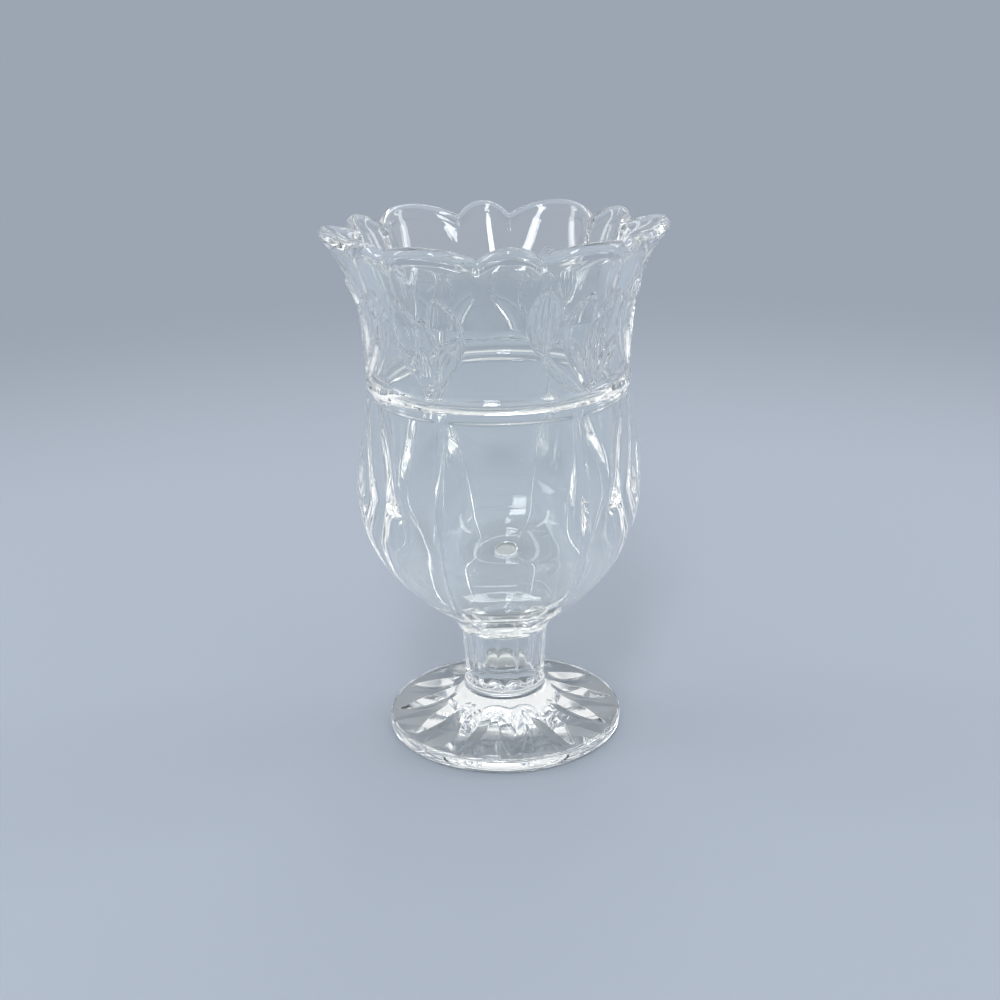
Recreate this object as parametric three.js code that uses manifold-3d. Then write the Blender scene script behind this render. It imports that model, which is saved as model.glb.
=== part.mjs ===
// A footed hurricane vase of clear pressed glass, with a fire-polished lip.
// Millimetres, +Z up. The origin is the centre of the ring that the foot stands on.
// Angles run from -Y towards +X, and the middle of one of the bowl's panels faces -Y.

import * as THREE from 'three';
import { mergeVertices } from 'three/addons/utils/BufferGeometryUtils.js';
import Module from 'manifold-3d';

const wasm = await Module();
wasm.setup();

// Foot
const FOOT_RADIUS = 50;
const FOOT_EDGE = 6; // height of the disc's upright edge
const FOOT_EDGE_ROUND = 1.6;
const FOOT_RISE = 11; // from the edge up to the stem
const FOOT_SWEEP = 0.36; // share of the rise at half the foot's radius: less hollows the sweep
const REST_WIDTH = 8.4; // of the flat ring that the foot stands on
const HOLLOW_DEPTH = 2; // of the shallow hollow inside that ring
const HOLLOW_FLAT = 0.6; // share of the hollow's radius where its roof starts to fall
const HOLLOW_FALL = 0.8; // share of the depth that is left there
const FOOT_CUTS = 12;
const CUT_DEPTH = 1.7;
const CUT_WIDTH = 11.5; // where it is widest
const CUT_WIDEST_RADIUS = 32;
const CUT_TO_EDGE = 2.4; // from its point to the foot's edge
const CUT_RUN_OUT = 7; // length over which a cut rises to the collar
const CUT_INNER = 0.5; // how open a cut still is at the collar
const CUT_FACE = 0.53; // share of the depth in the middle of a face: more than half hollows it
const CUT_FADE = 8; // how quickly the lines of a cut spread out past its ends

// Stem
const STEM_HEIGHT = 29;
const STEM_FOOT_RADIUS = 16.6;
const STEM_TOP_RADIUS = 18.8;
const FLUTES = 12;
const FLUTE_DEPTH = 1;
const COLLAR_HEIGHT = 3.6;
const COLLAR_PROUD = 0.9;
const WELL_RADIUS = 11.2; // at the mouth of the candle well
const WELL_TAPER = 0.8; // smaller by this at its floor
const WELL_BASE = 11; // solid glass left under the well

// Bowl
const BOWL_HEIGHT = 106.5;
const BOWL_FOOT_PROUD = 0.8; // the bowl's foot stands out past the stem by this
const BOWL_RADIUS = 58.2; // along a rib, at the widest place
const BOWL_WIDEST = 62; // height of the widest place
const BOWL_FOOT_OUT = 0.1; // share of the way out to the widest place that the foot leans
const BOWL_SPREAD = 0.17; // share of that height where the bowl's foot turns out
const BOWL_TURN_UP = 0.3; // and where its side turns up
const BOWL_TURN_IN = 0.45; // share of the height above it where the side turns in
const BOWL_STRAIGHTEN = 0.6; // and where it straightens again
const MOUTH_RADIUS = 52.6; // where the bowl meets the neck
const MOUTH_WALL = 6.4; // thickness there
const BOWL_FLOOR = 12;
const HOLLOW_REACH = 0.75; // share of the way out to the wall where the hollow's floor turns up
const HOLLOW_TURN = 0.35; // share of the way up to the widest place where its wall grows steep
const BOWL_WALL = 5; // in the middle of a panel, taken where it is widest and flattest
const PANELS = 6;
const PANEL_FLAT = 1; // 0 leaves a panel round, 1 makes it flat, and more makes it hollow
const PANEL_FLAT_FOOT = 0.3;
const PANEL_FLAT_TOP = 0.35;
const PANEL_SHOULDER = 46; // height above the bowl's foot where a panel turns flatter
const PANEL_SHOULDER_HEIGHT = 20; // over which it becomes as flat as it gets
const PANEL_TO_RING = 3.4;
const PANEL_STEP = 1.2; // height of the slope at a panel's upper edge
const RIB_WIDTH = 4.5;
const RIB_PROUD = 0.8;

// Neck
const NECK_HEIGHT = 57.5; // to the dips of the lip
const WAIST_IN = 1.2; // how far the wall draws in above the ring
const WAIST_HEIGHT = 12;
const LIP_FLARE = 9; // from the waist out to the dips of the lip
const SCALLOP_RISE = 5;
const LARGE_FLARE = 6.2; // how far a large scallop leans out past the dips
const SMALL_FLARE = 3.2;
const FLARE_HEIGHT = 26; // below the dips, where the scallops start to lean out
const SMALL_SCALLOP_SHARE = 0.36; // of one sixth of the lip
const LIP = 4; // thickness of the wall at the lip
const WALL_TAPER = 1.5; // above 1 the wall thins sooner on its way up to the lip
const LIP_BEAD = 0.35; // how far the lip swells past the wall on each side
const RING_HEIGHT = 4.8;
const RING_PROUD = 1.5;

// Tulips on the neck: two blooms on each third of it, one of them with a bud
const BLOOM_GROUPS = 3;
const BLOOM_TURN = -38.5; // degrees from a panel's middle
const BUD_BLOOM_TURN = 45;
const BUD_TURN = -28; // degrees from its bloom
const PETAL_BASE = 13; // height of a petal's lower point above the neck's foot
const PETAL_LENGTH = 33;
const PETAL_WIDTH = 13.5;
const PETAL_PROUD = 1.4;
const PETAL_SPREAD = 3; // between the lower points of a bloom's two outer petals
const PETAL_LEAN = 0.19;
const PETAL_POINT = 0.1; // how pointed its ends are: 0 leaves them round
const FRONT_PETAL_PROUD = 2;
const SPRIG_LENGTH = 27; // the leaves under a bloom
const SPRIG_WIDTH = 6.5;
const SPRIG_PROUD = 1.1;
const SPRIG_LEAN = 0.52;
const SPRIG_POINT = 0.4;
const BUD_BASE = 25;
const BUD_LENGTH = 25;
const BUD_WIDTH = 15;
const BUD_PROUD = 1.3;
const STALK_WIDTH = 5;
const STALK_POINT = 0.2;

// Heights of the joints between the parts
const STEM_BASE = FOOT_EDGE + FOOT_RISE;
const BOWL_BASE = STEM_BASE + STEM_HEIGHT;
const NECK_BASE = BOWL_BASE + BOWL_HEIGHT;

const TURN = 2 * Math.PI;
const COLLAR_RADIUS = STEM_FOOT_RADIUS + COLLAR_PROUD;
const BOWL_FOOT_RADIUS = STEM_TOP_RADIUS + BOWL_FOOT_PROUD;
const WAIST_RADIUS = MOUTH_RADIUS - WAIST_IN;
const HALF_PANEL = Math.PI / PANELS;

// A point at a radius, an angle and a height.
function around(radius, angle, height) {
  return new THREE.Vector3(radius * Math.sin(angle), -radius * Math.cos(angle), height);
}

// Rises smoothly from 0 to 1 as value goes from low to high.
function ease(value, low, high) {
  const t = THREE.MathUtils.clamp((value - low) / (high - low), 0, 1);
  return t * t * (3 - 2 * t);
}

// A cubic curve in the plane of radius and height.
function curve(...corners) {
  const points = corners.map(([radius, height]) => new THREE.Vector2(radius, height));
  return new THREE.CubicBezierCurve(...points);
}

// A quarter of a circle, from one angle to another, as points of radius and height.
function arc(radius, height, size, from, to, steps) {
  const points = [];
  for (let i = 0; i <= steps; i += 1) {
    const angle = from + (to - from) * i / steps;
    points.push(new THREE.Vector2(radius + size * Math.cos(angle), height + size * Math.sin(angle)));
  }
  return points;
}

// Joins rings of points, each as long as the next or a single point on the axis, into one skin.
// With closed, the last ring joins the first.
function skin(rings, closed) {
  const positions = rings.flat().flatMap((point) => point.toArray());
  const starts = [];
  let count = 0;
  for (const ring of rings) {
    starts.push(count);
    count += ring.length;
  }
  const index = [];
  const pairs = closed ? rings.length : rings.length - 1;
  for (let j = 0; j < pairs; j += 1) {
    const k = (j + 1) % rings.length;
    const steps = Math.max(rings[j].length, rings[k].length);
    for (let i = 0; i < steps; i += 1) {
      const next = (i + 1) % steps;
      const a = starts[j] + i % rings[j].length;
      const b = starts[j] + next % rings[j].length;
      const c = starts[k] + next % rings[k].length;
      const d = starts[k] + i % rings[k].length;
      if (a !== b) {
        index.push(a, b, c);
      }
      if (c !== d) {
        index.push(a, c, d);
      }
    }
  }
  const geometry = new THREE.BufferGeometry();
  geometry.setAttribute('position', new THREE.Float32BufferAttribute(positions, 3));
  geometry.setIndex(index);
  return geometry;
}

// Turns a closed geometry into a solid that can be joined and cut.
function solid(geometry) {
  const bare = geometry.clone();
  bare.deleteAttribute('normal');
  bare.deleteAttribute('uv');
  const merged = mergeVertices(bare, 1e-4);
  const corners = merged.index.array;
  const kept = [];
  for (let i = 0; i < corners.length; i += 3) {
    const [a, b, c] = corners.slice(i, i + 3);
    if (a !== b && b !== c && c !== a) {
      kept.push(a, b, c);
    }
  }
  const mesh = new wasm.Mesh({
    numProp: 3,
    vertProperties: new Float32Array(merged.attributes.position.array),
    triVerts: new Uint32Array(kept),
  });
  return new wasm.Manifold(mesh);
}

// Turns a solid back into a geometry.
function shape(body) {
  const mesh = body.getMesh();
  const geometry = new THREE.BufferGeometry();
  geometry.setAttribute('position', new THREE.Float32BufferAttribute(mesh.vertProperties, 3));
  geometry.setIndex(Array.from(mesh.triVerts));
  return geometry;
}

// Foot: a disc whose top sweeps up to the stem, with leaf-shaped mitre cuts in it
const CUT_PITCH = TURN / FOOT_CUTS;
const cutPoint = FOOT_RADIUS - CUT_TO_EDGE;
const footTop = new THREE.QuadraticBezierCurve(
  new THREE.Vector2(FOOT_RADIUS - FOOT_EDGE_ROUND, FOOT_EDGE),
  new THREE.Vector2(FOOT_RADIUS / 2, FOOT_EDGE + FOOT_RISE * FOOT_SWEEP),
  new THREE.Vector2(COLLAR_RADIUS, STEM_BASE),
);

// How open a cut is at a radius: 0 at its point, 1 where it is widest.
function cutOpening(radius) {
  if (radius > CUT_WIDEST_RADIUS) {
    const along = THREE.MathUtils.clamp((cutPoint - radius) / (cutPoint - CUT_WIDEST_RADIUS), 0, 1);
    return Math.sin(Math.PI / 2 * along);
  }
  const inward = (CUT_WIDEST_RADIUS - radius) / (CUT_WIDEST_RADIUS - COLLAR_RADIUS);
  return 1 - (1 - CUT_INNER) * inward * inward;
}

// One ring of the foot. Each cut has a line along its bottom, one along the middle of each of its
// two hollow faces and one along each edge, and one more line runs between two cuts.
function footRing(radius, height, opening) {
  const plainStep = CUT_PITCH / 6;
  const edge = opening * CUT_WIDTH / (2 * radius) + 2 * plainStep * (1 - opening) ** CUT_FADE;
  const depth = CUT_DEPTH * opening * ease(radius, COLLAR_RADIUS, COLLAR_RADIUS + CUT_RUN_OUT);
  const lines = [
    [-edge, 0],
    [-edge / 2, CUT_FACE],
    [0, 1],
    [edge / 2, CUT_FACE],
    [edge, 0],
    [CUT_PITCH / 2, 0],
  ];
  const points = [];
  for (let i = 0; i < FOOT_CUTS; i += 1) {
    for (const [offset, share] of lines) {
      points.push(around(radius, i * CUT_PITCH + offset, height - share * depth));
    }
  }
  return points;
}

function makeFoot() {
  const rim = FOOT_RADIUS - FOOT_EDGE_ROUND;
  const hollow = rim - REST_WIDTH;
  const plain = (point) => footRing(point.x, point.y, 0);
  const top = footTop.getPoints(10).slice(1, -1);
  const rings = [
    [around(0, 0, HOLLOW_DEPTH)],
    footRing(hollow * HOLLOW_FLAT, HOLLOW_DEPTH * HOLLOW_FALL, 0),
    footRing(hollow, 0, 0),
    ...arc(rim, FOOT_EDGE_ROUND, FOOT_EDGE_ROUND, -Math.PI / 2, 0, 3).map(plain),
    ...arc(rim, FOOT_EDGE - FOOT_EDGE_ROUND, FOOT_EDGE_ROUND, 0, Math.PI / 2, 3).map(plain),
    ...top.map((point) => footRing(point.x, point.y, cutOpening(point.x))),
    footRing(COLLAR_RADIUS, STEM_BASE, cutOpening(COLLAR_RADIUS)),
    [around(0, 0, STEM_BASE)],
  ];
  return skin(rings, false);
}

// Stem: hollow flutes that fade out above the collar, round a tapered well
const STEPS_PER_FLUTE = 4;
const FLUTE_FOOT_STEPS = [0, 0.5, 1.5, 3]; // heights above the flutes' feet, in flute depths

function stemRadius(angle, height) {
  const arris = THREE.MathUtils.lerp(STEM_FOOT_RADIUS, STEM_TOP_RADIUS, height / STEM_HEIGHT);
  const across = Math.abs(Math.sin(angle * FLUTES / 2));
  const start = COLLAR_HEIGHT + FLUTE_DEPTH * across;
  return arris - FLUTE_DEPTH * across * ease(height, start, start + 2 * FLUTE_DEPTH);
}

function makeStem() {
  const steps = FLUTES * STEPS_PER_FLUTE;
  const angles = Array.from({ length: steps }, (_, i) => TURN * (i + STEPS_PER_FLUTE / 2) / steps);
  const ring = (radius, height) => angles.map((angle) => around(radius, angle, STEM_BASE + height));
  const fluted = (height) => angles.map(
    (angle) => around(stemRadius(angle, height), angle, STEM_BASE + height),
  );
  const fluteFoot = COLLAR_HEIGHT + FLUTE_DEPTH;
  const heights = FLUTE_FOOT_STEPS.map((step) => fluteFoot + step * FLUTE_DEPTH);
  const wellFloor = WELL_RADIUS - WELL_TAPER;
  const rings = [
    [around(0, 0, STEM_BASE)],
    ring(COLLAR_RADIUS, 0),
    ring(COLLAR_RADIUS, COLLAR_HEIGHT - COLLAR_PROUD),
    fluted(COLLAR_HEIGHT),
    ...heights.map(fluted),
    fluted(STEM_HEIGHT),
    ring(WELL_RADIUS, STEM_HEIGHT),
    ring(wellFloor, WELL_BASE + WELL_TAPER),
    ring(wellFloor - WELL_TAPER, WELL_BASE),
    [around(0, 0, STEM_BASE + WELL_BASE)],
  ];
  return skin(rings, false);
}

// Bowl: panels that meet at ribs, round a hollow that narrows downwards
const bowlLower = curve(
  [BOWL_FOOT_RADIUS, 0],
  [THREE.MathUtils.lerp(BOWL_FOOT_RADIUS, BOWL_RADIUS, BOWL_FOOT_OUT), BOWL_WIDEST * BOWL_SPREAD],
  [BOWL_RADIUS, BOWL_WIDEST * BOWL_TURN_UP],
  [BOWL_RADIUS, BOWL_WIDEST],
);
const bowlUpper = curve(
  [BOWL_RADIUS, BOWL_WIDEST],
  [BOWL_RADIUS, THREE.MathUtils.lerp(BOWL_WIDEST, BOWL_HEIGHT, BOWL_TURN_IN)],
  [MOUTH_RADIUS, THREE.MathUtils.lerp(BOWL_WIDEST, BOWL_HEIGHT, BOWL_STRAIGHTEN)],
  [MOUTH_RADIUS, BOWL_HEIGHT],
);
const cavityMouth = MOUTH_RADIUS - MOUTH_WALL;
const cavityRadius = BOWL_RADIUS * (1 - PANEL_FLAT * (1 - Math.cos(HALF_PANEL))) - BOWL_WALL;
const cavityLower = curve(
  [WELL_RADIUS, BOWL_FLOOR],
  [THREE.MathUtils.lerp(WELL_RADIUS, cavityRadius, HOLLOW_REACH), BOWL_FLOOR],
  [cavityRadius, THREE.MathUtils.lerp(BOWL_FLOOR, BOWL_WIDEST, HOLLOW_TURN)],
  [cavityRadius, BOWL_WIDEST],
);

// How far a place on the bowl lies outside the plain body: less than 0 on a panel, more on a rib.
function bowlRelief(angle, radius, height) {
  const turned = THREE.MathUtils.euclideanModulo(angle + HALF_PANEL, 2 * HALF_PANEL);
  const offset = Math.abs(turned - HALF_PANEL);
  const top = BOWL_HEIGHT - PANEL_TO_RING;
  const flattest = PANEL_SHOULDER + PANEL_SHOULDER_HEIGHT;
  const rising = (PANEL_FLAT - PANEL_FLAT_FOOT) * ease(height, PANEL_SHOULDER, flattest);
  const falling = (PANEL_FLAT - PANEL_FLAT_TOP) * ease(height, flattest, BOWL_HEIGHT);
  const ends = ease(height, 0, BOWL_FLOOR / 2) * (1 - ease(height, top - PANEL_STEP, top));
  const flat = (PANEL_FLAT_FOOT + rising - falling) * ends;
  const panel = -radius * flat * (1 - Math.cos(HALF_PANEL) / Math.cos(offset));
  const across = Math.min(1, (HALF_PANEL - offset) * radius / (RIB_WIDTH / 2));
  const rib = RIB_PROUD * Math.sqrt(1 - across * across);
  return panel + rib * ease(height, 0, BOWL_FLOOR) * ease(BOWL_HEIGHT - height, 0, PANEL_TO_RING);
}

function makeBowl() {
  const perHalf = 6;
  const angles = [];
  for (let panel = 0; panel < PANELS; panel += 1) {
    for (let i = -perHalf; i < perHalf; i += 1) {
      angles.push((panel * 2 + Math.sin(Math.PI / 2 * i / perHalf)) * HALF_PANEL);
    }
  }
  const plain = (point) => angles.map((angle) => around(point.x, angle, BOWL_BASE + point.y));
  const panelled = (point) => angles.map((angle) => {
    const radius = point.x + bowlRelief(angle, point.x, point.y);
    return around(radius, angle, BOWL_BASE + point.y);
  });
  const panelTop = BOWL_HEIGHT - PANEL_TO_RING;
  const upper = bowlUpper.getPoints(5).slice(1, -1).filter((point) => point.y < panelTop - PANEL_STEP);
  const step = [panelTop - PANEL_STEP, panelTop, BOWL_HEIGHT].map((y) => new THREE.Vector2(MOUTH_RADIUS, y));
  const outside = [...bowlLower.getPoints(11), ...upper, ...step];
  const mouth = new THREE.Vector2(cavityMouth, BOWL_HEIGHT);
  const inside = [...cavityLower.getPoints(7), mouth].reverse();
  const well = new THREE.Vector2(WELL_RADIUS, 0);
  return skin([...outside.map(panelled), ...inside.map(plain), plain(well)], true);
}

// Neck: a wall that flares into scallops, small and large in turn
const STEPS_PER_SMALL = 6;
const STEPS_PER_LARGE = 8;
const RING_TURNS = [-0.9, -0.3, 0.3, 0.9]; // places round the ring's rounded face, in radians
const OUTSIDE_SHARES = [0, 0.2, 0.4, 0.56, 0.7, 0.82, 0.93]; // of the way from the ring to the lip
const INSIDE_SHARES = [0.93, 0.8, 0.6, 0.35];
const LIP_STEPS = 4;
const SCALLOP_PITCH = 2 * HALF_PANEL;
const SMALL_HALF = SMALL_SCALLOP_SHARE * SCALLOP_PITCH / 2;

// How high the lip is, from 0 at a dip to 1 at the top of a scallop, and how far it leans out.
function scallop(angle) {
  const half = SCALLOP_PITCH / 2;
  const offset = Math.abs(THREE.MathUtils.euclideanModulo(angle + half, SCALLOP_PITCH) - half);
  const isSmall = offset < SMALL_HALF;
  const along = isSmall ? offset / SMALL_HALF : (half - offset) / (half - SMALL_HALF);
  const rise = 1 - along * along;
  return { rise, lean: rise * (isSmall ? SMALL_FLARE : LARGE_FLARE) };
}

// Outer radius of the wall between its ring and its lip, under the tulips.
function neckRadius(angle, height) {
  const below = Math.max(0, WAIST_HEIGHT - height) / WAIST_HEIGHT;
  const above = Math.max(0, height - WAIST_HEIGHT) / (NECK_HEIGHT - WAIST_HEIGHT);
  const started = Math.max(0, height - NECK_HEIGHT + FLARE_HEIGHT) / FLARE_HEIGHT;
  return WAIST_RADIUS + WAIST_IN * below ** 2 + LIP_FLARE * above ** 2 + scallop(angle).lean * started;
}

// The wall's outward direction at a place, as a step in radius and a step in height.
function neckNormal(angle, height) {
  const step = 0.5;
  const rise = (neckRadius(angle, height + step) - neckRadius(angle, height - step)) / (2 * step);
  return new THREE.Vector2(1, -rise).normalize();
}

// A point of the wall at a depth below its outside.
function neckWall(angle, height, depth) {
  const outside = new THREE.Vector2(neckRadius(angle, height), height);
  return outside.addScaledVector(neckNormal(angle, height), -depth);
}

// Height where the outside wall ends and the rounding of the lip starts.
function wallTop(angle) {
  const crest = NECK_HEIGHT + SCALLOP_RISE * scallop(angle).rise;
  const normal = neckNormal(angle, crest - LIP);
  return crest - LIP / 2 * (normal.x - normal.y);
}

function neckAngles() {
  const angles = [];
  for (let i = 0; i < PANELS; i += 1) {
    const first = i * SCALLOP_PITCH - SMALL_HALF;
    const second = i * SCALLOP_PITCH + SMALL_HALF;
    const third = first + SCALLOP_PITCH;
    for (let j = 0; j < STEPS_PER_SMALL; j += 1) {
      angles.push(THREE.MathUtils.lerp(first, second, j / STEPS_PER_SMALL));
    }
    for (let j = 0; j < STEPS_PER_LARGE; j += 1) {
      angles.push(THREE.MathUtils.lerp(second, third, j / STEPS_PER_LARGE));
    }
  }
  return angles;
}

function neckWallRings() {
  const angles = neckAngles();
  const ring = (place) => angles.map((angle) => {
    const point = place(angle);
    return around(point.x, angle, NECK_BASE + point.y);
  });
  const bead = (turn) => ring((angle) => {
    const height = RING_HEIGHT / 2 * (1 + Math.sin(turn));
    return new THREE.Vector2(neckRadius(angle, height) + RING_PROUD * Math.cos(turn), height);
  });
  const wall = (share, depth) => ring((angle) => {
    const height = THREE.MathUtils.lerp(RING_HEIGHT, wallTop(angle), share);
    return neckWall(angle, height, depth);
  });
  const thickness = (share) => THREE.MathUtils.lerp(LIP, MOUTH_WALL - WAIST_IN, (1 - share) ** WALL_TAPER);
  const lip = (turn) => ring((angle) => {
    const top = wallTop(angle);
    const normal = neckNormal(angle, top);
    const upward = new THREE.Vector2(-normal.y, normal.x);
    return neckWall(angle, top, LIP / 2)
      .addScaledVector(normal, (LIP / 2 + LIP_BEAD) * Math.cos(turn))
      .addScaledVector(upward, (LIP / 2 + LIP_BEAD) * Math.sin(turn));
  });
  const foot = (depth) => ring(() => new THREE.Vector2(MOUTH_RADIUS - depth, 0));
  const rings = [foot(-RING_PROUD / 2)];
  for (const turn of RING_TURNS) {
    rings.push(bead(turn));
  }
  for (const share of OUTSIDE_SHARES) {
    rings.push(wall(share, 0));
  }
  for (let step = 0; step <= LIP_STEPS; step += 1) {
    rings.push(lip(Math.PI * step / LIP_STEPS));
  }
  for (const share of INSIDE_SHARES) {
    rings.push(wall(share, thickness(share)));
  }
  rings.push(foot(MOUTH_WALL));
  return rings;
}

// A petal, leaf or bud: a long low swelling laid on the neck wall, leaning by an angle. Its lower
// point lies across from the bloom's middle, measured round the wall, and up from the neck's foot.
function swelling(angle, { across, up, length, width, proud, lean, point }) {
  const geometry = new THREE.SphereGeometry(1, 6, 5);
  const place = geometry.attributes.position;
  for (let i = 0; i < place.count; i += 1) {
    const along = place.getY(i);
    const side = place.getX(i) * width / 2 * Math.max(0, 1 - along * along) ** point;
    const end = (1 + along) * length / 2;
    const x = across + side * Math.cos(lean) + end * Math.sin(lean);
    const y = up + end * Math.cos(lean) - side * Math.sin(lean);
    const turned = angle + x / MOUTH_RADIUS;
    const radius = neckRadius(turned, y) + proud * place.getZ(i);
    const target = around(radius, turned, NECK_BASE + y);
    place.setXYZ(i, target.x, target.y, target.z);
  }
  return solid(geometry);
}

// A bloom: two outer petals, one in front of them, and a leaf on each side below
function bloom(angle) {
  const pieces = [];
  const petal = { up: PETAL_BASE, length: PETAL_LENGTH, width: PETAL_WIDTH, point: PETAL_POINT };
  const sprig = { up: RING_HEIGHT, length: SPRIG_LENGTH, width: SPRIG_WIDTH, point: SPRIG_POINT };
  for (const side of [-1, 1]) {
    const across = side * PETAL_SPREAD / 2;
    pieces.push(swelling(angle, { ...petal, across, proud: PETAL_PROUD, lean: side * PETAL_LEAN }));
    pieces.push(swelling(angle, { ...sprig, across: 0, proud: SPRIG_PROUD, lean: side * SPRIG_LEAN }));
  }
  pieces.push(swelling(angle, { ...petal, across: 0, proud: FRONT_PETAL_PROUD, lean: 0 }));
  return pieces;
}

// A bud and its stalk, which springs from the foot of a bloom
function bud(angle) {
  const reach = THREE.MathUtils.degToRad(BUD_TURN) * MOUTH_RADIUS;
  const rise = BUD_BASE - RING_HEIGHT;
  return [
    swelling(angle, {
      across: reach,
      up: BUD_BASE,
      length: BUD_LENGTH,
      width: BUD_WIDTH,
      proud: BUD_PROUD,
      lean: 0,
      point: 0,
    }),
    swelling(angle, {
      across: 0,
      up: RING_HEIGHT,
      length: Math.hypot(reach, rise),
      width: STALK_WIDTH,
      proud: SPRIG_PROUD,
      lean: Math.atan2(reach, rise),
      point: STALK_POINT,
    }),
  ];
}

function makeNeck() {
  let neck = solid(skin(neckWallRings(), true));
  for (let i = 0; i < BLOOM_GROUPS; i += 1) {
    const start = TURN * i / BLOOM_GROUPS;
    const single = start + THREE.MathUtils.degToRad(BLOOM_TURN);
    const budded = start + THREE.MathUtils.degToRad(BUD_BLOOM_TURN);
    for (const piece of [...bloom(single), ...bloom(budded), ...bud(budded)]) {
      neck = neck.add(piece);
    }
  }
  return shape(neck);
}

// The four formed parts, each clear glass
const vase = new THREE.Group();
const parts = [
  ['foot', makeFoot()],
  ['stem', makeStem()],
  ['bowl', makeBowl()],
  ['neck', makeNeck()],
];
for (const [name, geometry] of parts) {
  const glass = new THREE.MeshStandardMaterial({ color: '#e6ecea', roughness: 0.04, metalness: 0 });
  const mesh = new THREE.Mesh(geometry, glass);
  mesh.name = name;
  vase.add(mesh);
}

export default vase;
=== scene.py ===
"""The looks of a footed hurricane vase of clear pressed glass.

Sizes are in millimetres up to the point where a mesh is made, and in metres from there on. +Z is up.
Angles run round the vase from -Y towards +X, and the middle of one of the bowl's panels faces -Y.

The glass is one body in which four parts are fused: foot, stem, bowl and neck. Each has a skin of rows
that run round one sector of it, and the sector is repeated round the vase's axis.
"""

import logging
import math
from abc import ABC, abstractmethod
from dataclasses import dataclass, replace
from enum import Enum

import bpy
import numpy as np
from mathutils import Matrix, Vector

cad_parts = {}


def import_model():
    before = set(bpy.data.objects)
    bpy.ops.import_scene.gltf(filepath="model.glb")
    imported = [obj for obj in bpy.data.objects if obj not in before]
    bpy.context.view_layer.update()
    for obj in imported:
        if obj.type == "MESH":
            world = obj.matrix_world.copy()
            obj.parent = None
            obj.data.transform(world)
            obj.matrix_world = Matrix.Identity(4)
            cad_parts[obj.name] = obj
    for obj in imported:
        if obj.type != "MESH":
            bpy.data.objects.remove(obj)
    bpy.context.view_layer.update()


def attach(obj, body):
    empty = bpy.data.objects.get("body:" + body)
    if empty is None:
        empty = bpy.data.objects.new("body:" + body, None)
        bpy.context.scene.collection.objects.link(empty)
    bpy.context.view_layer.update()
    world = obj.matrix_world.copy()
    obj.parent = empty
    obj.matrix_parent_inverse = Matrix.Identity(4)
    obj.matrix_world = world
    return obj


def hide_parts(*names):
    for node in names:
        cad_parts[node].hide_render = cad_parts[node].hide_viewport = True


MM = 0.001  # metres in a millimetre
TURN = 2 * math.pi
JOINT = "joint"  # name of the face attribute that marks where two parts are fused
WELD = 0.001 * MM  # points closer than this are one point
MIX_FIRST = 6  # place of a Mix node's colour for a factor of 0: its inputs for numbers share the name
MIX_SECOND = 7  # and for a factor of 1
MIX_RESULT = 2  # place of the colour among its outputs

log = logging.getLogger("vase")


class Node(Enum):
    """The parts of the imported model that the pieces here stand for."""

    FOOT = "foot"
    STEM = "stem"
    BOWL = "bowl"
    NECK = "neck"


def linear(colour: str) -> tuple[float, float, float, float]:
    """Turns an sRGB hex colour into linear light.

    Args:
        colour: six hex digits after a hash.

    Returns:
        Red, green, blue and an alpha of 1.
    """
    parts = [int(colour[i:i + 2], 16) / 255 for i in (1, 3, 5)]
    light = [c / 12.92 if c <= 0.04045 else ((c + 0.055) / 1.055) ** 2.4 for c in parts]
    return (*light, 1.0)


def add_node(
    tree: bpy.types.NodeTree, kind: str, inputs: dict[str | int, object] | None = None, **settings: object,
) -> bpy.types.Node:
    """Adds one node to a tree.

    Args:
        tree: the tree that gets the node.
        kind: the node's type.
        inputs: for each input's name or place, a value or an output socket to link.
        **settings: values of the node's own settings.

    Returns:
        The new node.
    """
    node = tree.nodes.new(kind)
    for name, value in settings.items():
        setattr(node, name, value)
    for name, value in (inputs or {}).items():
        socket = node.inputs[name]
        if isinstance(value, bpy.types.NodeSocket):
            tree.links.new(value, socket)
        else:
            socket.default_value = value
    return node


def new_material(name: str) -> bpy.types.Material:
    """Makes a material that has no nodes yet.

    Args:
        name: the material's name.

    Returns:
        The material, with an empty node tree.
    """
    made = bpy.data.materials.new(name)
    made.use_nodes = True
    made.node_tree.nodes.clear()
    return made


def ease(value: np.ndarray, low: float, high: float) -> np.ndarray:
    """Rises smoothly from 0 to 1 as value goes from low to high."""
    t = np.clip((value - low) / (high - low), 0, 1)
    return t * t * (3 - 2 * t)


def bezier(corners: list[tuple[float, float]], steps: int) -> np.ndarray:
    """Points on a Bezier curve in the plane of radius and height.

    Args:
        corners: two or more control points.
        steps: number of stretches between points.

    Returns:
        An array of steps + 1 points.
    """
    t = np.linspace(0, 1, steps + 1)[:, None]
    points = [np.array(corner, float) + 0 * t for corner in corners]
    while len(points) > 1:
        points = [a * (1 - t) + b * t for a, b in zip(points, points[1:])]
    return points[0]


def arc(centre: tuple[float, float], size: float, start: float, end: float, steps: int) -> np.ndarray:
    """Points on an arc in the plane of radius and height.

    Args:
        centre: radius and height of the arc's centre.
        size: the arc's own radius.
        start: first angle, in turns.
        end: last angle, in turns.
        steps: number of stretches between points.

    Returns:
        An array of steps + 1 points.
    """
    angle = TURN * np.linspace(start, end, steps + 1)
    return np.stack([centre[0] + size * np.cos(angle), centre[1] + size * np.sin(angle)], -1)


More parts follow.
